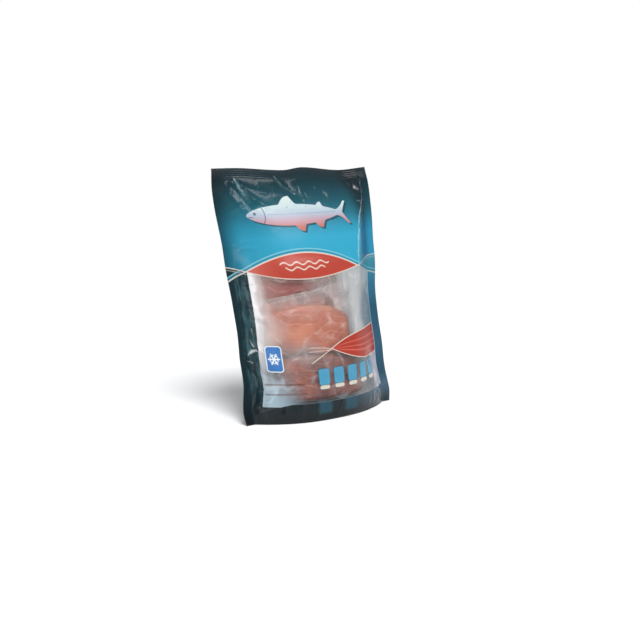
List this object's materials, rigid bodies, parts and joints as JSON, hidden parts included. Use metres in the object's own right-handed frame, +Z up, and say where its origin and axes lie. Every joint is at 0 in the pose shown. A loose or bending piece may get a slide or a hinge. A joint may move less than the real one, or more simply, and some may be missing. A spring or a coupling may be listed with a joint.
{
  "type": "pack of salmon fillet",
  "caption": "Sealed stand-up film pouch with a clear window over frozen salmon portions, standing on its bottom gusset and leaning back a little.",
  "frame": {"origin": "middle of the bounding box on the floor, under the pouch", "axes": "+Z up, the printed front panel faces -Y, +X to the right as seen from the front"},
  "size_m": [0.1792, 0.0836, 0.2352],
  "materials": {
    "printed_film": "glossy printed laminate film, dark teal to bright blue with a red banner",
    "clear_film": "clear crinkled film",
    "salmon": "marbled frozen salmon flesh with light frost"
  },
  "bodies": {
    "root": {"pouch": "printed_film"}
  },
  "joints": []
}
